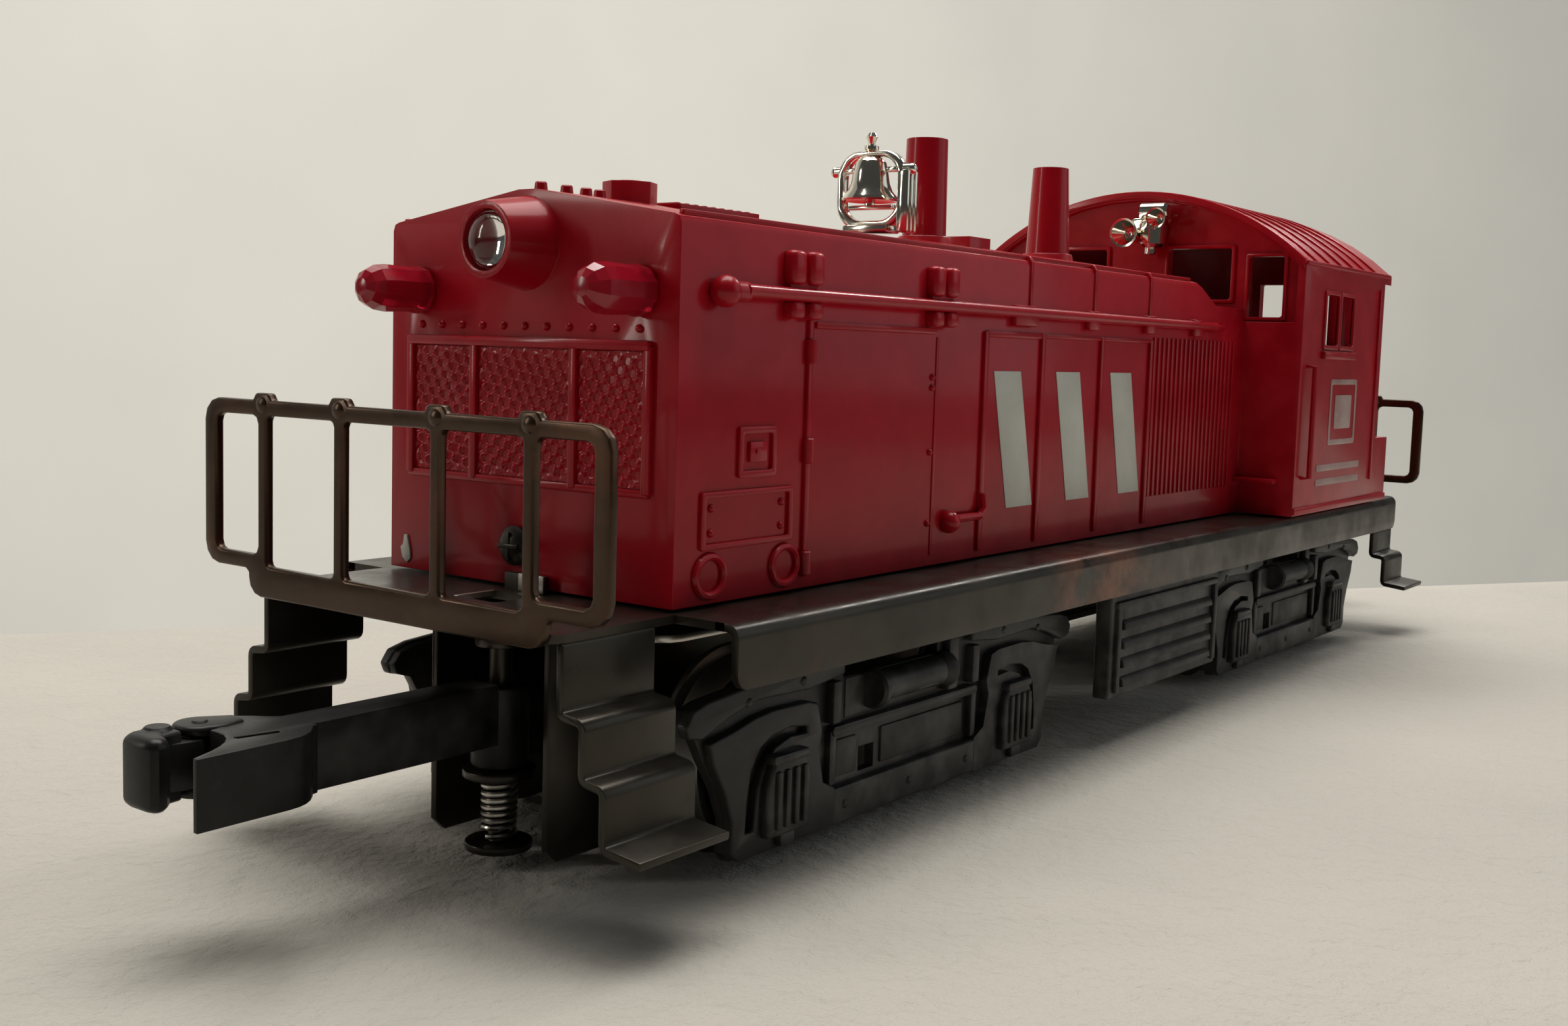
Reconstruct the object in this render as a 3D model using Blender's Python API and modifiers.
"""Model diesel switcher locomotive, O gauge.

Metres, +Z up, +X towards the nose. The origin is on the floor, midway between the couplers.
"""

import math

import bmesh
import bpy
from mathutils import Matrix, Vector

MM = 0.001

# ---------------------------------------------------------------- driving dimensions, mm
DECK_TOP = 27.5
SHEET = 0.8
DECK_HALF_WIDTH = 28.3
PLATFORM_HALF_WIDTH = 20.7
SKIRT_END = 102.5
SKIRT_BOTTOM = 21.4
PLATFORM_END = 117.9
RAILING_X = 118.7
RAILING_TOP = 45.8
RAILING_HALF_WIDTH = 28.0

NOSE_X = 101.9
CAB_FRONT = -39.7
CAB_REAR = -82.6
CAB_ROOF_REAR = -86.5
CAB_STEP_REAR = -89.6
CAB_STEP_TOP = 39.4
SHELL_BOTTOM = 27.8
WALL = 1.6
HOOD_HALF = 20.0
HOOD_EAVE = 64.4
HOOD_RIDGE = 67.2
HOOD_LOW_TOP = 61.0
CAB_HALF = 29.4
CAB_EAVE = 68.7
CAB_CROWN = 80.4
CAB_ROOF_RADIUS = 42.8

STACK_TOP = 81.0
STACK_FRONT_X = 28.0
STACK_REAR_X = -8.0
LAMP_Z = 61.9
MARKER_Y = 15.3
MARKER_Z = 57.3
BODY_SCREW_Z = 31.9

TRUCK_X = 62.35
HALF_WHEELBASE = 24.0
AXLE_Z = 11.0
AXLE_R = 1.5
TREAD_R = 9.75
FLANGE_R = 11.0
WHEEL_BACK = 13.9
WHEEL_FACE = 18.6

COUPLER_X = 104.5
COUPLER_LOW = 12.7
COUPLER_HIGH = 19.0
KNUCKLE_PIVOT = (30.6, -4.6)

GEAR_MODULE = 2.0 / 3.0
TEETH_AXLE = 24
TEETH_IDLER = 18
TEETH_REDUCTION_SMALL = 16
TEETH_REDUCTION_LARGE = 32
TEETH_PINION = 8
IDLER_Z = 15.37
TRAIN_Y0 = 9.6
TRAIN_Y1 = 11.6
FAST_Y0 = 12.0
FAST_Y1 = 13.2

COLLECTION = "model_switcher_locomotive"


# ---------------------------------------------------------------- scene and materials
def clear_scene():
    for ob in list(bpy.data.objects):
        bpy.data.objects.remove(ob, do_unlink=True)


def make_collection(name):
    coll = bpy.data.collections.new(name)
    bpy.context.scene.collection.children.link(coll)
    return coll


def material(name, rgb, roughness, metallic=0.0, alpha=1.0):
    mat = bpy.data.materials.new(name)
    mat.use_nodes = True
    shader = mat.node_tree.nodes["Principled BSDF"]
    shader.inputs["Base Color"].default_value = (rgb[0], rgb[1], rgb[2], 1.0)
    shader.inputs["Roughness"].default_value = roughness
    shader.inputs["Metallic"].default_value = metallic
    shader.inputs["Alpha"].default_value = alpha
    mat.diffuse_color = (rgb[0], rgb[1], rgb[2], 1.0)
    return mat


LOOKS = {
    "red_plastic": ((0.33, 0.012, 0.02), 0.38, 0.0),
    "black_plastic": ((0.022, 0.023, 0.024), 0.5, 0.0),
    "blackened_steel": ((0.05, 0.045, 0.04), 0.3, 0.9),
    "chrome": ((0.85, 0.85, 0.83), 0.08, 1.0),
    "clear_lens": ((0.9, 0.9, 0.88), 0.05, 0.0),
    "ruby_lens": ((0.5, 0.005, 0.02), 0.08, 0.0),
    "steel": ((0.5, 0.5, 0.5), 0.35, 1.0),
    "wheel_iron": ((0.16, 0.155, 0.15), 0.35, 0.9),
    "brass": ((0.65, 0.48, 0.2), 0.3, 1.0),
    "nylon": ((0.75, 0.73, 0.66), 0.45, 0.0),
    "board": ((0.25, 0.16, 0.06), 0.5, 0.0),
}


# ---------------------------------------------------------------- shape helpers
def link(name, mesh):
    ob = bpy.data.objects.new(name, mesh)
    PARTS.objects.link(ob)
    return ob


def from_bmesh(name, bm):
    bmesh.ops.recalc_face_normals(bm, faces=bm.faces)
    mesh = bpy.data.meshes.new(name)
    bm.to_mesh(mesh)
    bm.free()
    return link(name, mesh)


def box(name, x0, x1, y0, y1, z0, z1):
    bm = bmesh.new()
    bmesh.ops.create_cube(bm, size=1.0)
    size = Matrix.Diagonal(((x1 - x0) * MM, (y1 - y0) * MM, (z1 - z0) * MM, 1.0))
    centre = Vector(((x0 + x1) / 2 * MM, (y0 + y1) / 2 * MM, (z0 + z1) / 2 * MM))
    bmesh.ops.transform(bm, matrix=Matrix.Translation(centre) @ size, verts=bm.verts)
    return from_bmesh(name, bm)


def axis_matrix(axis):
    if axis == "X":
        return Matrix.Rotation(math.radians(90), 4, "Y")
    if axis == "Y":
        return Matrix.Rotation(math.radians(-90), 4, "X")
    return Matrix.Identity(4)


def rod(name, centre, axis, a0, a1, r0, r1=None, segments=24):
    """Cylinder or cone along a world axis from a0 to a1; centre gives the other two coordinates."""
    bm = bmesh.new()
    r1 = r0 if r1 is None else r1
    length = (a1 - a0) * MM
    bmesh.ops.create_cone(bm, cap_ends=True, cap_tris=False, segments=segments,
                          radius1=r0 * MM, radius2=r1 * MM, depth=length)
    place = list(centre)
    place["XYZ".index(axis)] = (a0 + a1) / 2
    shift = Matrix.Translation(Vector(place) * MM)
    bmesh.ops.transform(bm, matrix=shift @ axis_matrix(axis), verts=bm.verts)
    return from_bmesh(name, bm)


def turned(name, profile, centre, axis="Z", steps=24, flip=False):
    """Turn (radius, height) points, outer side first, about a world axis through centre."""
    mesh = bpy.data.meshes.new(name)
    closed = profile[0][0] > 1e-6
    count = len(profile)
    edges = [(i, i + 1) for i in range(count - 1)]
    if closed:
        edges.append((count - 1, 0))
    mesh.from_pydata([(r * MM, 0.0, h * MM) for r, h in profile], edges, [])
    ob = link(name, mesh)
    screw = ob.modifiers.new("turn", "SCREW")
    screw.steps = steps
    screw.render_steps = steps
    screw.use_merge_vertices = True
    screw.merge_threshold = 0.000001
    bake(ob)
    tidy(ob)
    side = Matrix.Rotation(math.pi, 4, "X") if flip else Matrix.Identity(4)
    ob.data.transform(Matrix.Translation(Vector(centre) * MM) @ axis_matrix(axis) @ side)
    return ob


def tidy(ob, distance=0.000002):
    bm = bmesh.new()
    bm.from_mesh(ob.data)
    bmesh.ops.remove_doubles(bm, verts=bm.verts, dist=distance)
    bmesh.ops.recalc_face_normals(bm, faces=bm.faces)
    bm.to_mesh(ob.data)
    bm.free()


def bake(ob):
    """Replace the object's data with its evaluated mesh."""
    bpy.context.view_layer.update()
    graph = bpy.context.evaluated_depsgraph_get()
    mesh = bpy.data.meshes.new_from_object(ob.evaluated_get(graph))
    mesh.name = ob.name
    if ob.type == "MESH":
        ob.modifiers.clear()
        ob.data = mesh
        return ob
    solid = bpy.data.objects.new(ob.name, mesh)
    PARTS.objects.link(solid)
    solid.matrix_world = ob.matrix_world.copy()
    name = ob.name
    bpy.data.objects.remove(ob, do_unlink=True)
    solid.name = name
    return solid


def plate(name, loops, plane, a0, a1):
    """Flat outline in a world plane, with holes as further loops, from a0 to a1 across it."""
    curve = bpy.data.curves.new(name, "CURVE")
    curve.dimensions = "2D"
    curve.fill_mode = "BOTH"
    curve.extrude = (a1 - a0) / 2 * MM
    for loop in loops:
        spline = curve.splines.new("POLY")
        spline.points.add(len(loop) - 1)
        for point, (u, v) in zip(spline.points, loop):
            point.co = (u * MM, v * MM, 0.0, 1.0)
        spline.use_cyclic_u = True
    ob = link(name, curve)
    solid = bake(ob)
    tidy(solid)
    flatten(solid)
    middle = (a0 + a1) / 2 * MM
    if plane == "XY":
        matrix = Matrix.Translation((0, 0, middle))
    elif plane == "XZ":
        matrix = Matrix(((1, 0, 0, 0), (0, 0, -1, middle), (0, 1, 0, 0), (0, 0, 0, 1)))
    else:
        matrix = Matrix(((0, 0, 1, middle), (1, 0, 0, 0), (0, 1, 0, 0), (0, 0, 0, 1)))
    solid.data.transform(matrix)
    tidy(solid)
    return solid


def flatten(ob):
    """Merge the triangles of each flat face."""
    bm = bmesh.new()
    bm.from_mesh(ob.data)
    bmesh.ops.dissolve_limit(bm, angle_limit=math.radians(0.1), verts=bm.verts, edges=bm.edges)
    bm.to_mesh(ob.data)
    bm.free()


def combine(target, tool, operation="UNION"):
    modifier = target.modifiers.new(operation.lower(), "BOOLEAN")
    modifier.operation = operation
    modifier.solver = "EXACT"
    modifier.object = tool
    bake(target)
    bpy.data.objects.remove(tool, do_unlink=True)
    tidy(target)
    return target


def join(target, *tools):
    for tool in tools:
        combine(target, tool, "UNION")
    return target


def cut(target, *tools):
    for tool in tools:
        combine(target, tool, "DIFFERENCE")
    return target


def circle(cx, cy, r, count=20, start=0.0):
    step = 2 * math.pi / count
    return [(cx + r * math.cos(start + i * step), cy + r * math.sin(start + i * step))
            for i in range(count)]


def arc(cx, cy, r, a0, a1, count):
    span = math.radians(a1 - a0)
    first = math.radians(a0)
    return [(cx + r * math.cos(first + span * i / (count - 1)),
             cy + r * math.sin(first + span * i / (count - 1))) for i in range(count)]


def rounded(x0, x1, y0, y1, r, count=4):
    return (arc(x1 - r, y1 - r, r, 0, 90, count) + arc(x0 + r, y1 - r, r, 90, 180, count)
            + arc(x0 + r, y0 + r, r, 180, 270, count) + arc(x1 - r, y0 + r, r, 270, 360, count))


def mirror_x(points):
    return [(-u, v) for u, v in reversed(points)]


def ribbon(path, thickness):
    """Closed outline of a folded strip of constant thickness along a centre path."""
    left = []
    right = []
    half = thickness / 2
    for i, point in enumerate(path):
        before = Vector(path[max(i - 1, 0)])
        after = Vector(path[min(i + 1, len(path) - 1)])
        here = Vector(point)
        d0 = (here - before).normalized() if i > 0 else (after - here).normalized()
        d1 = (after - here).normalized() if i < len(path) - 1 else d0
        normal = Vector((-(d0 + d1).y, (d0 + d1).x)).normalized()
        reach = half / max(normal.dot(Vector((-d0.y, d0.x))), 0.3)
        left.append(tuple(here + normal * reach))
        right.append(tuple(here - normal * reach))
    return left + right[::-1]


def finish(ob, name, look, origin=(0.0, 0.0, 0.0)):
    """Name the solid, give it its own material and put its origin on its joint's axis."""
    ob.name = name
    ob.data.name = name
    ob.data.materials.clear()
    rgb, rough, metal = LOOKS[look]
    ob.data.materials.append(material(name, rgb, rough, metal))
    shift = Vector(origin) * MM
    ob.data.transform(Matrix.Translation(-shift))
    ob.location = shift
    ob.data.shade_smooth()
    ob.data.set_sharp_from_angle(angle=math.radians(35))
    return ob


# ---------------------------------------------------------------- frame, railings, steps
def make_frame():
    w = DECK_HALF_WIDTH
    t = SHEET
    top = DECK_TOP
    p = PLATFORM_HALF_WIDTH
    quarter = [(PLATFORM_END, 0), (PLATFORM_END, p - 0.8), (PLATFORM_END - 0.8, p), (SKIRT_END, p + 0.06),
               (SKIRT_END, w - 0.4)]
    right = [(u, -v) for u, v in reversed(quarter[1:])] + quarter[1:]
    deck = plate("deck", [right + [(-u, -v) for u, v in right]], "XY", top - t, top)
    for sy in (1, -1):
        y0, y1 = sorted((sy * (w - t), sy * w))
        edge = SKIRT_END - 0.15
        low = SKIRT_BOTTOM
        side = ([(edge, top - 0.3)] + [(-edge, top - 0.3)]
                + arc(-edge + 1.4, low + 1.4, 1.4, 180, 270, 5)
                + arc(edge - 1.4, low + 1.4, 1.4, 270, 360, 5))
        join(deck, plate("skirt", [side], "XZ", y0, y1))
    join(deck, box("nose_tab", NOSE_X + 0.4, NOSE_X + 1.2, -1.2, 4.4, top - 0.4, top + 1.8))
    join(deck, box("screw_tab", NOSE_X - 3.2, NOSE_X - 2.3, -4.0, 4.0, top - 0.4, BODY_SCREW_Z + 4.0))
    cut(deck, rod("screw_hole", (0, -0.5, BODY_SCREW_Z), "X", NOSE_X - 4, NOSE_X - 1.5, 1.3))
    cut(deck, rod("king_hole", (TRUCK_X, 0, 0), "Z", top - 3, top + 3, 3.3))
    cut(deck, box("motor_hole", -TRUCK_X - 17.2, -TRUCK_X + 17.2, -18.6, 17.0, top - 3, top + 3))
    cut(deck, box("slot", NOSE_X + 2.6, NOSE_X + 7.6, -1.2, 4.4, top - 3, top + 3))
    finish(deck, "frame", "blackened_steel")


def railing_loops():
    half = RAILING_HALF_WIDTH
    top = RAILING_TOP
    wing = 29.0
    apron = 26.3
    inner = 20.7
    corner = 1.9
    outer = (arc(inner - corner, apron + corner, corner, 270, 360, 4)
             + [(inner, wing - 0.4), (inner + 0.5, wing)]
             + arc(half - 2.2, wing + 2.2, 2.2, 270, 360, 4)
             + arc(half - 2.2, top - 2.2, 2.2, 0, 90, 4))
    for y in (18.5, 6.75, -6.75, -18.5):
        outer += [(y + 1.5, top), (y + 1.0, top + 0.7), (y - 1.0, top + 0.7), (y - 1.5, top)]
    outer += (arc(-half + 2.2, top - 2.2, 2.2, 90, 180, 4)
              + arc(-half + 2.2, wing + 2.2, 2.2, 180, 270, 4)
              + [(-inner - 0.5, wing), (-inner, wing - 0.4)]
              + arc(-inner + corner, apron + corner, corner, 180, 270, 4))
    bar = 1.5
    post = 0.65
    sill = 29.4
    loops = [outer]
    loops.append(rounded(18.5 + post, half - 1.9, wing + 1.5, top - bar, 0.9, 3))
    loops.append(rounded(6.75 + post, 18.5 - post, sill, top - bar, 0.6, 3))
    loops.append(rounded(-6.75 + post, 6.75 - post, sill, top - bar, 0.6, 3))
    loops.append(rounded(-18.5 + post, -6.75 - post, sill, top - bar, 0.6, 3))
    loops.append(rounded(-half + 1.9, -18.5 - post, wing + 1.5, top - bar, 0.9, 3))
    return loops


def make_railings():
    for name, sign in (("front_railing", 1), ("rear_railing", -1)):
        a0, a1 = sorted((sign * (RAILING_X - 0.5), sign * (RAILING_X + 0.5)))
        finish(plate(name, railing_loops(), "YZ", a0, a1), name, "blackened_steel")


def make_steps():
    path = [(20.3, 26.4), (20.3, 21.2), (20.8, 20.6), (23.0, 20.3), (23.3, 19.8), (23.3, 15.7),
            (23.7, 15.1), (25.5, 14.9), (25.8, 14.4), (25.8, 10.4), (26.4, 9.7), (30.0, 9.2)]
    for end, sx in (("front", 1), ("rear", -1)):
        for side, sy in (("left", 1), ("right", -1)):
            outline = ribbon([(sy * y, z) for y, z in path], SHEET)
            a0, a1 = sorted((sx * 105.3, sx * 117.2))
            name = end + "_step_" + side
            finish(plate(name, [outline], "YZ", a0, a1), name, "blackened_steel")


# ---------------------------------------------------------------- body shell
def hood_section(inset):
    half = HOOD_HALF - inset
    eave = HOOD_EAVE - inset
    ridge = HOOD_RIDGE - inset
    low = SHELL_BOTTOM if inset == 0 else SHELL_BOTTOM - 3
    soft = 0.9 if inset == 0 else 0.3
    right = [(half, low), (half, eave - soft), (half - 0.3 * soft, eave - 0.25 * soft),
             (half - soft, eave), (1.2, ridge)]
    return right + mirror_x(right)


def cab_section(inset):
    half = CAB_HALF - inset
    low = SHELL_BOTTOM if inset == 0 else SHELL_BOTTOM - 3
    radius = CAB_ROOF_RADIUS - inset
    centre = CAB_CROWN - CAB_ROOF_RADIUS
    edge = math.degrees(math.acos(half / radius))
    roof = arc(0, centre, radius, edge, 180 - edge, 15)
    return [(half, low)] + roof + [(-half, low)]


def make_shell():
    shell = plate("shell", [hood_section(0)], "YZ", CAB_FRONT - 1.0, NOSE_X)
    wedge = [(-18.1, HOOD_RIDGE + 2), (-18.1, HOOD_EAVE + 0.3), (-26.8, HOOD_LOW_TOP),
             (CAB_FRONT - 2.0, HOOD_LOW_TOP), (CAB_FRONT - 2.0, HOOD_RIDGE + 2)]
    cut(shell, plate("wedge", [wedge], "XZ", -HOOD_HALF - 1, HOOD_HALF + 1))
    join(shell, plate("cab", [cab_section(0)], "YZ", CAB_REAR, CAB_FRONT))
    join(shell, box("step_box", CAB_STEP_REAR, CAB_REAR + 1, -CAB_HALF, CAB_HALF, SHELL_BOTTOM,
                    CAB_STEP_TOP))
    join(shell, rod("stack_front", (STACK_FRONT_X, 0, 0), "Z", 65.9, STACK_TOP, 3.0, 2.8))
    join(shell, rod("stack_rear", (STACK_REAR_X, 0, 0), "Z", 65.9, STACK_TOP, 3.4, 2.7))
    join(shell, rod("cap", (NOSE_X - 14.9, 0, 0), "Z", 66.0, 69.3, 2.9, segments=8))
    join(shell, box("roof_box", 14.0, 19.8, -2.4, 2.4, 66.0, 68.7))
    join(shell, rod("lamp_boss", (0, 0, LAMP_Z), "X", NOSE_X - 1.0, NOSE_X + 5.5, 4.8, 3.7))
    join(shell, plate("roof_lip", [roof_lip()], "YZ", CAB_ROOF_REAR, CAB_REAR + 0.6))
    cut(shell, plate("front_recess", [fascia_outline(1.3)], "YZ", CAB_FRONT - 1.6, CAB_FRONT + 1))
    hood_in = plate("hood_in", [hood_section(WALL)], "YZ", CAB_FRONT - 6, NOSE_X - WALL)
    low_roof = [(-16.5, HOOD_RIDGE + 3), (-16.5, HOOD_EAVE - 1.3), (-26.0, HOOD_LOW_TOP - WALL),
                (CAB_FRONT - 8, HOOD_LOW_TOP - WALL), (CAB_FRONT - 8, HOOD_RIDGE + 3)]
    cut(hood_in, plate("low_roof", [low_roof], "XZ", -HOOD_HALF - 1, HOOD_HALF + 1))
    cut(shell, hood_in)
    cut(shell, plate("cab_in", [cab_section(WALL)], "YZ", CAB_REAR + WALL, CAB_FRONT - 1.6 - WALL))
    cut(shell, box("step_in", CAB_STEP_REAR + WALL, CAB_REAR + 4, -CAB_HALF + WALL,
                   CAB_HALF - WALL, SHELL_BOTTOM - 3, CAB_STEP_TOP - WALL))
    cut_openings(shell)
    finish(shell, "body_shell", "red_plastic")


def roof_lip():
    """Section of the curved roof where it stands out behind the cab's rear wall."""
    centre = CAB_CROWN - CAB_ROOF_RADIUS
    half = CAB_HALF - 0.06
    rims = []
    for radius in (CAB_ROOF_RADIUS - 0.06, CAB_ROOF_RADIUS - 1.2):
        edge = math.degrees(math.acos(half / radius))
        rims.append(arc(0, centre, radius, edge, 180 - edge, 15))
    return rims[0] + rims[1][::-1]


def fascia_outline(rim):
    """Recess on the cab's front above the hood: the roof's edge stands proud around it."""
    radius = CAB_ROOF_RADIUS - rim
    centre = CAB_CROWN - CAB_ROOF_RADIUS
    half = CAB_HALF - rim
    edge = math.degrees(math.acos(half / radius))
    low = HOOD_LOW_TOP - 2.0
    return [(half, low)] + arc(0, centre, radius, edge, 180 - edge, 13) + [(-half, low)]


def cut_openings(shell):
    front = (CAB_FRONT - 1.6 - WALL - 1, CAB_FRONT - 1.0)
    rear = (CAB_REAR - 1, CAB_REAR + WALL + 1)
    for sy in (1, -1):
        y0, y1 = sorted((sy * 5.6, sy * 16.6))
        cut(shell, box("front_window", front[0], front[1], y0, y1, 62.6, 71.0))
        y0, y1 = sorted((sy * 19.6, sy * 25.4))
        cut(shell, box("corner_window", front[0], front[1], y0, y1, 59.8, 69.6))
        y0, y1 = sorted((sy * 7.0, sy * 20.0))
        cut(shell, box("rear_window", rear[0], rear[1], y0, y1, 55.6, 67.0))
        y0, y1 = sorted((sy * (CAB_HALF - WALL - 1), sy * (CAB_HALF + 1)))
        cut(shell, box("side_window_a", -56.6, -50.3, y0, y1, 55.6, 63.9))
        cut(shell, box("side_window_b", -64.6, -58.2, y0, y1, 55.6, 63.9))
        cut(shell, rod("marker_hole", (0, sy * MARKER_Y, MARKER_Z), "X", NOSE_X - 3, NOSE_X + 2,
                       1.8, segments=16))
    cut(shell, rod("lamp_bore", (0, 0, LAMP_Z), "X", NOSE_X - 4, NOSE_X + 8, 3.0))
    cut(shell, rod("screw_bore", (0, -0.5, BODY_SCREW_Z), "X", NOSE_X - 3, NOSE_X + 2, 1.3,
                   segments=16))


def make_body_fittings():
    lens = [(0.0, 1.5), (1.2, 1.35), (2.1, 0.9), (2.6, 0.3), (2.6, -4.0), (0.0, -4.0)]
    finish(turned("lens", lens, (NOSE_X + 5.0, 0, LAMP_Z), "X", 20), "headlight_lens", "clear_lens")
    jewel = [(0.0, 8.1), (1.2, 7.6), (2.3, 6.2), (2.45, 4.6), (2.2, 1.2), (2.45, 0.4),
             (1.5, 0.35), (1.5, -3.4), (0.0, -3.4)]
    for name, sy in (("marker_lens_left", 1), ("marker_lens_right", -1)):
        ob = turned(name, jewel, (NOSE_X, sy * MARKER_Y, MARKER_Z), "X", 12)
        finish(ob, name, "ruby_lens")
    bracket = box("bracket", 86.2, 87.0, -4.0, 4.0, DECK_TOP + 0.3, 64.2)
    join(bracket, box("foot", 86.4, 91.5, -4.0, 4.0, DECK_TOP + 0.3, DECK_TOP + 1.1))
    cut(bracket, rod("socket_hole", (0, 0, LAMP_Z - 1.0), "X", 84, 89, 1.6, segments=16))
    finish(bracket, "lamp_bracket", "steel")
    bulb = [(0.0, 8.6), (0.9, 8.3), (1.7, 7.0), (1.7, 2.4), (2.1, 2.2), (2.1, 0.4), (1.3, 0.35),
            (1.3, -3.0), (0.0, -3.0)]
    finish(turned("bulb", bulb, (87.1, 0, LAMP_Z - 1.0), "X", 16), "headlight_bulb", "clear_lens")
    screw = [(0.0, 1.5), (1.3, 1.3), (2.0, 0.7), (2.0, 0.3), (1.0, 0.3), (1.0, -3.6), (0.0, -3.6)]
    finish(turned("screw", screw, (NOSE_X, -0.5, BODY_SCREW_Z), "X", 16), "body_screw",
           "blackened_steel")
    board = box("board", -24.0, 12.0, -14.0, 14.0, DECK_TOP + 1.3, DECK_TOP + 2.9)
    for x in (-18.0, 6.0):
        join(board, rod("spacer", (x, 0, 0), "Z", DECK_TOP + 0.3, DECK_TOP + 2.0, 2.2, segments=12))
    join(board, box("rectifier", -12.0, -2.0, -8.0, 4.0, DECK_TOP + 2.5, DECK_TOP + 7.5))
    join(board, rod("capacitor", (5.0, 6.0, 0), "Z", DECK_TOP + 2.5, DECK_TOP + 10, 3.5,
                    segments=16))
    finish(board, "circuit_board", "board")
    weight = box("weight", 18.0, 52.0, -15.0, 15.0, DECK_TOP + 0.3, DECK_TOP + 9.3)
    finish(weight, "ballast_weight", "steel")


def make_bell():
    x = NOSE_X - 61.2
    base = HOOD_RIDGE + 0.4
    outer = rounded(-5.1, 5.1, base + 0.4, base + 10.6, 3.2, 5)
    inner = rounded(-4.1, 4.1, base + 1.6, base + 9.6, 2.6, 5)
    ring = plate("ring", [outer, inner], "YZ", x - 0.8, x + 0.8)
    join(ring, box("foot", x - 1.6, x + 1.6, -3.4, 3.4, base, base + 0.9))
    profile = [(0.0, base + 13.0), (0.7, base + 12.6), (0.9, base + 11.9), (0.5, base + 11.2),
               (0.6, base + 10.2), (1.5, base + 9.6), (2.1, base + 8.6), (2.5, base + 6.6),
               (3.0, base + 5.4), (3.6, base + 4.6), (3.6, base + 4.2), (0.0, base + 4.2)]
    join(ring, turned("cup", profile, (x, 0, 0), "Z", 16))
    join(ring, rod("pivots", (x, 0, base + 8.3), "Y", -6.1, 6.1, 0.6, segments=8))
    join(ring, box("brace", x - 1.1, x + 1.1, 4.4, 6.0, base, base + 8.8))
    finish(ring, "bell", "chrome")


def trumpet(x0, y, z, length, mouth):
    profile = [(0.0, length), (mouth, length), (mouth, length - 0.5), (mouth * 0.62, length - 1.6),
               (mouth * 0.45, length * 0.35), (mouth * 0.45, 0.0), (0.0, 0.0)]
    return turned("trumpet", profile, (x0, y, z), "X", 16)


def make_horn():
    x0 = CAB_FRONT - 1.3
    horn = trumpet(x0 + 1.4, 0.6, 72.7, 7.4, 2.3)
    join(horn, trumpet(x0 + 1.4, 4.6, 76.0, 5.6, 2.0))
    join(horn, box("manifold", x0, x0 + 2.6, -0.6, 5.6, 71.8, 76.8))
    join(horn, rod("stem", (x0 + 1.6, 3.4, 0), "Z", 69.8, 73.0, 1.0, segments=12))
    finish(horn, "horn", "chrome")


def make_battery_boxes():
    for name, sy in (("battery_box_left", 1), ("battery_box_right", -1)):
        y0, y1 = sorted((sy * 23.4, sy * 26.4))
        body = box(name, -18.8, 18.6, y0, y1, 6.6, 26.2)
        s0, s1 = sorted((sy * 25.9, sy * 27.0))
        for row in range(4):
            z = 9.0 + 2.9 * row
            cut(body, box("louvre", -15.0, 15.6, s0, s1, z, z + 1.2))
        finish(body, name, "black_plastic")


# ---------------------------------------------------------------- trucks
def channel_outline(tx):
    """Side plate of the truck channel, seen along Y; the coupler end points to +u."""
    return [(tx - 28.5, 24.1), (106.1, 24.1), (106.1, 3.2), (104.8, 1.9), (98.2, 1.9),
            (97.2, 2.9), (97.2, 7.4), (tx - 28.5, 7.4)]


def make_channel(sign):
    tx = TRUCK_X
    holes = [circle(tx + d, AXLE_Z, 1.95, 16, 0.01 * d) for d in (HALF_WHEELBASE, -HALF_WHEELBASE)]
    loops = [channel_outline(tx)] + holes
    if sign < 0:
        loops = [[(-u, v) for u, v in reversed(loop)] for loop in loops]
    body = plate("side", loops, "XZ", 7.6, 8.4)
    join(body, plate("other", loops, "XZ", -8.4, -7.6))
    a0, a1 = sorted((sign * (tx - 28.3), sign * 105.9))
    join(body, box("top", a0, a1, -8.0, 8.0, 23.2, 24.0))
    return body


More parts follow.
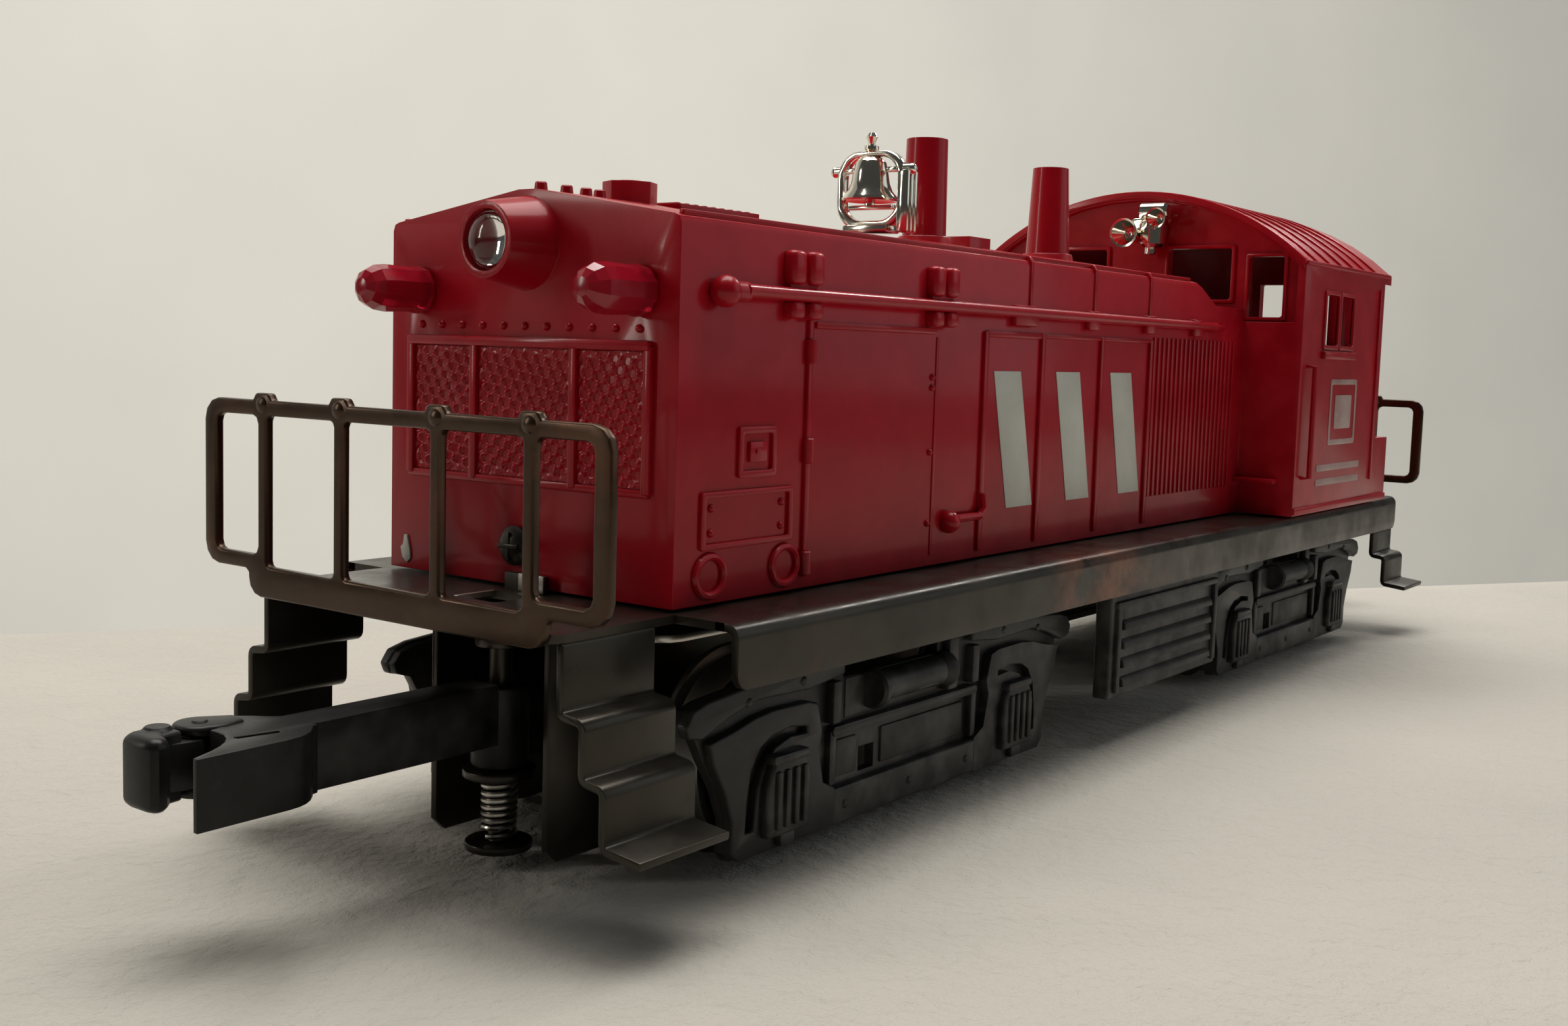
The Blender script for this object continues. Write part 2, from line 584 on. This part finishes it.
def make_sideframe(tx, sy):
    half = [(30.2, 1.9), (31.5, 2.5), (33.0, 6.0), (34.6, 10.0), (35.8, 13.4), (37.3, 14.1),
            (38.0, 15.2), (38.0, 16.6), (37.2, 17.7), (33.0, 18.6), (27.0, 19.3), (20.5, 20.4)]
    outline = [(tx + u, v) for u, v in half + mirror_x(half)]
    y = sorted((sy * 19.7, sy * 21.9))
    body = plate("panel", [outline], "XZ", y[0], y[1])
    journal = [(-6.0, 3.6), (6.0, 3.6), (6.0, 9.6), (4.4, 13.0), (2.4, 13.8), (-2.4, 13.8),
               (-4.4, 13.0), (-6.0, 9.6)]
    j = sorted((sy * 21.5, sy * 23.4))
    for d in (HALF_WHEELBASE, -HALF_WHEELBASE):
        join(body, plate("journal", [[(tx + d + u, v) for u, v in journal]], "XZ", j[0], j[1]))
        p = sorted((sy * 8.7, sy * 21.2))
        a = tx + math.copysign(16.0, d)
        join(body, box("arm", a - 2.5, a + 2.5, p[0], p[1], 22.4, 24.0))
        r = sorted((sy * 19.8, sy * 21.2))
        join(body, box("riser", a - 2.5, a + 2.5, r[0], r[1], 19.0, 23.0))
    rail = [(36.6, 14.6), (37.6, 15.6), (37.2, 17.1), (26.0, 18.7), (19.0, 17.9), (15.4, 14.6),
            (15.4, 12.9), (18.2, 12.9), (20.8, 16.0), (24.0, 16.9)]
    b = sorted((sy * 21.6, sy * 22.7))
    for flip in (1, -1):
        beam = [(tx + flip * u, v) for u, v in rail]
        join(body, plate("beam", [beam if flip > 0 else beam[::-1]], "XZ", b[0], b[1]))
    join(body, rod("cylinder", (tx, sy * 22.3, 16.2), "X", tx - 6.4, tx + 8.2, 1.9, segments=14))
    c = sorted((sy * 21.6, sy * 22.5))
    panel = [(-15.2, 4.2), (15.2, 4.2), (15.2, 12.4), (-15.2, 12.4)]
    hole = [(-13.6, 5.8), (-13.6, 11.2), (13.6, 11.2), (13.6, 5.8)]
    join(body, plate("rim", [[(tx + u, v) for u, v in panel], [(tx + u, v) for u, v in hole]],
                     "XZ", c[0], c[1]))
    return body


def wheel_profile():
    return [(FLANGE_R - 0.3, WHEEL_BACK), (FLANGE_R, WHEEL_BACK + 0.5), (10.0, 15.3),
            (TREAD_R, WHEEL_FACE), (8.6, WHEEL_FACE), (8.3, WHEEL_FACE - 1.1),
            (3.9, WHEEL_FACE - 1.1), (3.5, WHEEL_FACE + 0.3), (1.75, WHEEL_FACE + 0.3),
            (1.75, WHEEL_BACK)]


def make_wheelset(prefix, x):
    centre = (x, 0, AXLE_Z)
    finish(rod("axle", centre, "Y", -19.1, 19.1, AXLE_R, segments=16), prefix + "_axle", "steel",
           centre)
    left = turned("wheel", wheel_profile(), centre, "Y", 24)
    finish(left, prefix + "_wheel_left", "wheel_iron", centre)
    right = turned("wheel", wheel_profile(), centre, "Y", 24, flip=True)
    finish(right, prefix + "_wheel_right", "wheel_iron", centre)


def head_outline():
    """Coupler head and arm seen from above; the pivot is the origin and the mouth points to +u."""
    ring = arc(0, 0, 2.9, 48, 312, 11)
    far = [(2.2, -2.1), (24.4, -2.1), (25.4, -3.6), (26.4, -4.9), (28.2, -5.2), (28.6, -3.2),
           (30.6, -2.6), (31.7, -2.2)]
    mouth = [(31.4, -1.0), (31.7, 0.5), (32.6, 1.9), (34.0, 3.1), (35.6, 4.0), (37.3, 4.5)]
    near = [(37.4, 5.4), (27.0, 5.3), (25.6, 4.5), (24.4, 2.1), (2.2, 2.1)]
    return ring + far + mouth + near


def knuckle_outline():
    px, py = KNUCKLE_PIVOT
    boss = arc(px, py, 1.5, 100, 270, 7)
    hook = [(36.4, -6.1), (37.2, -5.7), (37.4, -5.1), (37.4, -2.4), (36.9, -1.8), (35.2, -1.8),
            (34.7, -2.3), (34.4, -3.6), (33.7, -4.0), (32.4, -3.9)]
    return boss + hook


def place_outline(points, sign):
    """Rear couplers are the front one turned half a turn about Z."""
    return [(sign * (COUPLER_X + u), sign * v) for u, v in points]


def make_coupler(prefix, sign):
    centre = (sign * COUPLER_X, 0, 0)
    body = plate("head", [place_outline(head_outline(), sign)], "XY", COUPLER_LOW, COUPLER_HIGH)
    join(body, rod("ring", centre, "Z", 10.1, COUPLER_HIGH - 1.0, 2.7, segments=20))
    cut(body, rod("bore", centre, "Z", 5.0, 25.0, 1.45, segments=16))
    px = sign * (COUPLER_X + KNUCKLE_PIVOT[0])
    py = sign * KNUCKLE_PIVOT[1]
    lug = [(27.6, -5.0), (27.6, -2.9)] + arc(30.6, -4.6, 1.9, 70, -110, 7)
    for z0, z1 in ((COUPLER_LOW, COUPLER_LOW + 0.9), (COUPLER_HIGH - 0.9, COUPLER_HIGH)):
        join(body, plate("lug", [place_outline(lug[::-1], sign)], "XY", z0, z1))
    join(body, rod("pin", (px, py, 0), "Z", COUPLER_LOW + 0.4, COUPLER_HIGH + 0.5, 0.7,
                   segments=12))
    finish(body, prefix + "_coupler", "black_plastic", centre)
    hook = plate("hook", [place_outline(knuckle_outline(), sign)], "XY", COUPLER_LOW, COUPLER_HIGH)
    cut(hook, rod("low", (px, py, 0), "Z", COUPLER_LOW - 1, COUPLER_LOW + 1.2, 2.3, segments=20))
    cut(hook, rod("high", (px, py, 0), "Z", COUPLER_HIGH - 1.2, COUPLER_HIGH + 1, 2.3, segments=20))
    cut(hook, rod("bore", (px, py, 0), "Z", 5.0, 25.0, 0.9, segments=12))
    finish(hook, prefix + "_knuckle", "black_plastic", (px, py, 0))
    post = [(2.6, 23.0), (2.6, 22.2), (1.15, 22.2), (1.15, 9.8), (3.7, 9.8), (3.7, 9.0),
            (1.05, 9.0), (1.05, 2.4), (3.4, 2.4), (3.4, 1.6), (0.0, 1.6)]
    finish(turned("post", [(0.0, 23.0)] + post, centre, "Z", 20), prefix + "_coupler_post",
           "blackened_steel", centre)
    make_spring(prefix + "_coupler_spring", centre)


def make_spring(name, centre):
    turns = 5
    per_turn = 10
    low = 2.9
    high = 8.5
    curve = bpy.data.curves.new(name, "CURVE")
    curve.dimensions = "3D"
    curve.bevel_depth = 0.28 * MM
    curve.bevel_resolution = 1
    curve.use_fill_caps = True
    spline = curve.splines.new("POLY")
    count = turns * per_turn
    spline.points.add(count)
    for i in range(count + 1):
        a = 2 * math.pi * i / per_turn
        z = low + 0.3 + (high - low - 0.6) * i / count
        spline.points[i].co = ((centre[0] + 1.55 * math.cos(a)) * MM,
                               (centre[1] + 1.55 * math.sin(a)) * MM, z * MM, 1.0)
    ob = bake(link(name, curve))
    tidy(ob)
    finish(ob, name, "steel", centre)


def make_front_truck():
    pivot = (TRUCK_X, 0, 0)
    body = make_channel(1)
    cut(body, rod("king", pivot, "Z", 20, 28, 3.1))
    for sy in (1, -1):
        cut(body, rod("pickup_pin_hole", (TRUCK_X + 10.0, 0, 9.9), "Y", sy * 9.4 - 1, sy * 9.4 + 1,
                      0.9, segments=12))
    finish(body, "front_truck_frame", "blackened_steel", pivot)
    top = plate("top", [rounded(TRUCK_X - 40.0, TRUCK_X + 40.0, -19.4, 19.4, 3.0, 4),
                        circle(TRUCK_X, 0, 3.1, 24)], "XY", 24.4, 25.2)
    finish(top, "front_truck_plate", "steel", pivot)
    king = [(0.0, 29.1), (4.3, 29.1), (4.5, 28.8), (4.5, 27.9), (2.8, 27.9), (2.8, 26.4),
            (4.5, 26.4), (4.5, 25.5), (2.8, 25.5), (2.8, 23.0), (4.5, 23.0), (4.5, 22.0),
            (0.0, 22.0)]
    finish(turned("king", king, pivot, "Z", 24), "front_kingpin", "steel", pivot)
    for name, sy in (("front_sideframe_left", 1), ("front_sideframe_right", -1)):
        finish(make_sideframe(TRUCK_X, sy), name, "black_plastic", pivot)
    make_wheelset("front_lead", TRUCK_X + HALF_WHEELBASE)
    make_wheelset("front_trail", TRUCK_X - HALF_WHEELBASE)
    make_coupler("front", 1)
    make_pickup()


def make_pickup():
    hinge = (TRUCK_X + 10.0, 0, 9.9)
    roller = (TRUCK_X - 2.0, 0, 4.3)
    path = [(hinge[0] + 1.2, hinge[2] + 1.0), (hinge[0] - 1.0, hinge[2] + 1.6),
            (roller[0] - 1.4, roller[2] + 1.2), (roller[0] - 1.4, roller[2] - 1.2),
            (roller[0] + 1.2, roller[2] - 1.4), (hinge[0] + 0.4, hinge[2] - 1.6),
            (hinge[0] + 1.4, hinge[2] - 0.8)]
    arm = plate("cheek", [path], "XZ", 3.6, 4.4)
    join(arm, plate("other", [path], "XZ", -4.4, -3.6))
    join(arm, rod("sleeve", hinge, "Y", -7.2, 7.2, 1.0, segments=12))
    join(arm, rod("pin", roller, "Y", -4.0, 4.0, 0.7, segments=12))
    join(arm, box("web", TRUCK_X + 3.4, TRUCK_X + 6.4, -4.0, 4.0, 8.4, 9.0))
    finish(arm, "pickup_arm", "steel", hinge)
    wheel = [(3.4, 3.2), (3.7, 2.8), (3.7, -2.8), (3.4, -3.2), (0.95, -3.2), (0.95, 3.2)]
    finish(turned("roller", wheel, roller, "Y", 20), "pickup_roller", "steel", roller)


# ---------------------------------------------------------------- powered truck
def gear_loop(cx, cz, teeth, phase):
    """Straight-flanked teeth: thinner than half the pitch, so meshed gears keep backlash."""
    radius = GEAR_MODULE * teeth / 2
    tip = radius + 0.82 * GEAR_MODULE
    root = radius - 1.15 * GEAR_MODULE
    pitch = 2 * math.pi / teeth
    points = []
    for i in range(teeth):
        a = phase + i * pitch
        for r, f in ((root, -0.33), (tip, -0.105), (tip, 0.105), (root, 0.33)):
            points.append((cx + r * math.cos(a + f * pitch), cz + r * math.sin(a + f * pitch)))
    return points


def meshed_phase(c0, teeth0, phase0, c1, teeth1):
    """Phase of the second gear that puts its gap where the first gear has a tooth."""
    line = math.atan2(c1[1] - c0[1], c1[0] - c0[0])
    here = (line - phase0) * teeth0 / (2 * math.pi)
    return line + math.pi - (0.5 - here) * 2 * math.pi / teeth1


def train():
    """Centres and phases of the gear train in the XZ plane, from the axle gears inwards."""
    cx = -TRUCK_X
    reach = GEAR_MODULE * (TEETH_AXLE + TEETH_IDLER) / 2
    dz = IDLER_Z - AXLE_Z
    dx = HALF_WHEELBASE - math.sqrt(reach * reach - dz * dz)
    near = GEAR_MODULE * (TEETH_IDLER + TEETH_REDUCTION_SMALL) / 2
    rise = math.sqrt(near * near - dx * dx)
    axle_a = (cx + HALF_WHEELBASE, AXLE_Z)
    axle_b = (cx - HALF_WHEELBASE, AXLE_Z)
    idler_a = (cx + dx, IDLER_Z)
    idler_b = (cx - dx, IDLER_Z)
    middle = (cx, IDLER_Z + rise)
    up = GEAR_MODULE * (TEETH_REDUCTION_LARGE + TEETH_PINION) / 2
    pinion = (cx, middle[1] + up)
    pa = 0.0
    ia = meshed_phase(axle_a, TEETH_AXLE, pa, idler_a, TEETH_IDLER)
    ms = meshed_phase(idler_a, TEETH_IDLER, ia, middle, TEETH_REDUCTION_SMALL)
    ib = meshed_phase(middle, TEETH_REDUCTION_SMALL, ms, idler_b, TEETH_IDLER)
    pb = meshed_phase(idler_b, TEETH_IDLER, ib, axle_b, TEETH_AXLE)
    ml = math.pi / 2
    pp = meshed_phase(middle, TEETH_REDUCTION_LARGE, ml, pinion, TEETH_PINION)
    return {"axle_a": (axle_a, pa), "axle_b": (axle_b, pb), "idler_a": (idler_a, ia),
            "idler_b": (idler_b, ib), "small": (middle, ms), "large": (middle, ml),
            "pinion": (pinion, pp)}


def gear(spot, teeth, y0, y1, bore):
    (cx, cz), phase = spot
    loops = [gear_loop(cx, cz, teeth, phase)]
    if bore:
        loops.append(circle(cx, cz, bore, 16))
    return plate("gear", loops, "XZ", y0, y1)


def make_rear_truck():
    pivot = (-TRUCK_X, 0, 0)
    spots = train()
    body = make_channel(-1)
    for key, y1 in (("idler_a", 12.0), ("idler_b", 12.0), ("small", 13.5)):
        (cx, cz), _ = spots[key]
        join(body, rod("stub", (cx, 0, cz), "Y", 7.85, y1, 1.1, segments=14))
    finish(body, "rear_truck_frame", "blackened_steel", pivot)
    for name, sy in (("rear_sideframe_left", 1), ("rear_sideframe_right", -1)):
        finish(make_sideframe(-TRUCK_X, sy), name, "black_plastic", pivot)
    make_wheelset("rear_lead", -TRUCK_X + HALF_WHEELBASE)
    make_wheelset("rear_trail", -TRUCK_X - HALF_WHEELBASE)
    for name, key in (("rear_lead_gear", "axle_a"), ("rear_trail_gear", "axle_b")):
        (cx, cz), _ = spots[key]
        finish(gear(spots[key], TEETH_AXLE, TRAIN_Y0, TRAIN_Y1, 1.75), name, "nylon", (cx, 0, cz))
    for name, key in (("idler_gear_lead", "idler_a"), ("idler_gear_trail", "idler_b")):
        (cx, cz), _ = spots[key]
        finish(gear(spots[key], TEETH_IDLER, TRAIN_Y0, TRAIN_Y1, 1.35), name, "nylon", (cx, 0, cz))
    (cx, cz), _ = spots["small"]
    pair = gear(spots["small"], TEETH_REDUCTION_SMALL, TRAIN_Y0, FAST_Y0 + 0.2, 0)
    join(pair, gear(spots["large"], TEETH_REDUCTION_LARGE, FAST_Y0, FAST_Y1, 0))
    cut(pair, rod("bore", (cx, 0, cz), "Y", 5, 18, 1.35, segments=16))
    finish(pair, "reduction_gear", "nylon", (cx, 0, cz))
    (px, pz), _ = spots["pinion"]
    small = gear(spots["pinion"], TEETH_PINION, FAST_Y0 - 0.3, FAST_Y1 + 0.3, 0)
    join(small, rod("shaft", (px, 0, pz), "Y", 4.6, FAST_Y1 + 0.9, 1.0, segments=16))
    finish(small, "motor_pinion", "brass", (px, 0, pz))
    make_motor(px, pz, pivot)
    make_coupler("rear", -1)


def make_motor(px, pz, pivot):
    flat = [(px + u, pz + v) for u, v in
            arc(0, 0, 10.0, -48, 48, 7) + arc(0, 0, 10.0, 132, 228, 7)]
    can = plate("can", [flat], "XZ", -15.4, 8.4)
    join(can, rod("rear_boss", (px, 0, pz), "Y", -16.6, -15.0, 3.0, segments=16))
    join(can, rod("front_boss", (px, 0, pz), "Y", 8.0, 9.2, 3.0, segments=16))
    cut(can, rod("shaft_bore", (px, 0, pz), "Y", 4.0, 12.0, 1.4, segments=16))
    finish(can, "motor", "steel", pivot)
    top = pz + 8.2
    legs = box("leg", px + 10.5, px + 11.5, -5.0, 5.0, 24.4, top + 0.8)
    join(legs, box("leg2", px - 11.5, px - 10.5, -5.0, 5.0, 24.4, top + 0.8))
    join(legs, box("bridge", px - 11.0, px + 11.0, -5.0, 5.0, top, top + 0.8))
    king = [(0.0, top + 4.6), (3.2, top + 4.6), (3.2, top + 3.7), (2.2, top + 3.7),
            (2.2, top + 1.5), (3.4, top + 1.5), (3.4, top + 0.4), (0.0, top + 0.4)]
    join(legs, turned("king", king, pivot, "Z", 20))
    finish(legs, "motor_bracket", "steel", pivot)
    z = top + 2.2
    saddle = box("saddle", px - 18.3, px + 18.3, -6.0, 6.0, z, z + 0.8)
    for sx in (1, -1):
        a0, a1 = sorted((px + sx * 17.6, px + sx * 18.3))
        join(saddle, box("saddle_leg", a0, a1, -6.0, 6.0, DECK_TOP + 0.3, z + 0.4))
    cut(saddle, rod("saddle_hole", pivot, "Z", z - 2, z + 3, 2.6))
    finish(saddle, "motor_saddle", "steel")


# ---------------------------------------------------------------- build
clear_scene()
PARTS = make_collection(COLLECTION)
make_frame()
make_railings()
make_steps()
make_shell()
make_body_fittings()
make_bell()
make_horn()
make_battery_boxes()
make_front_truck()
make_rear_truck()
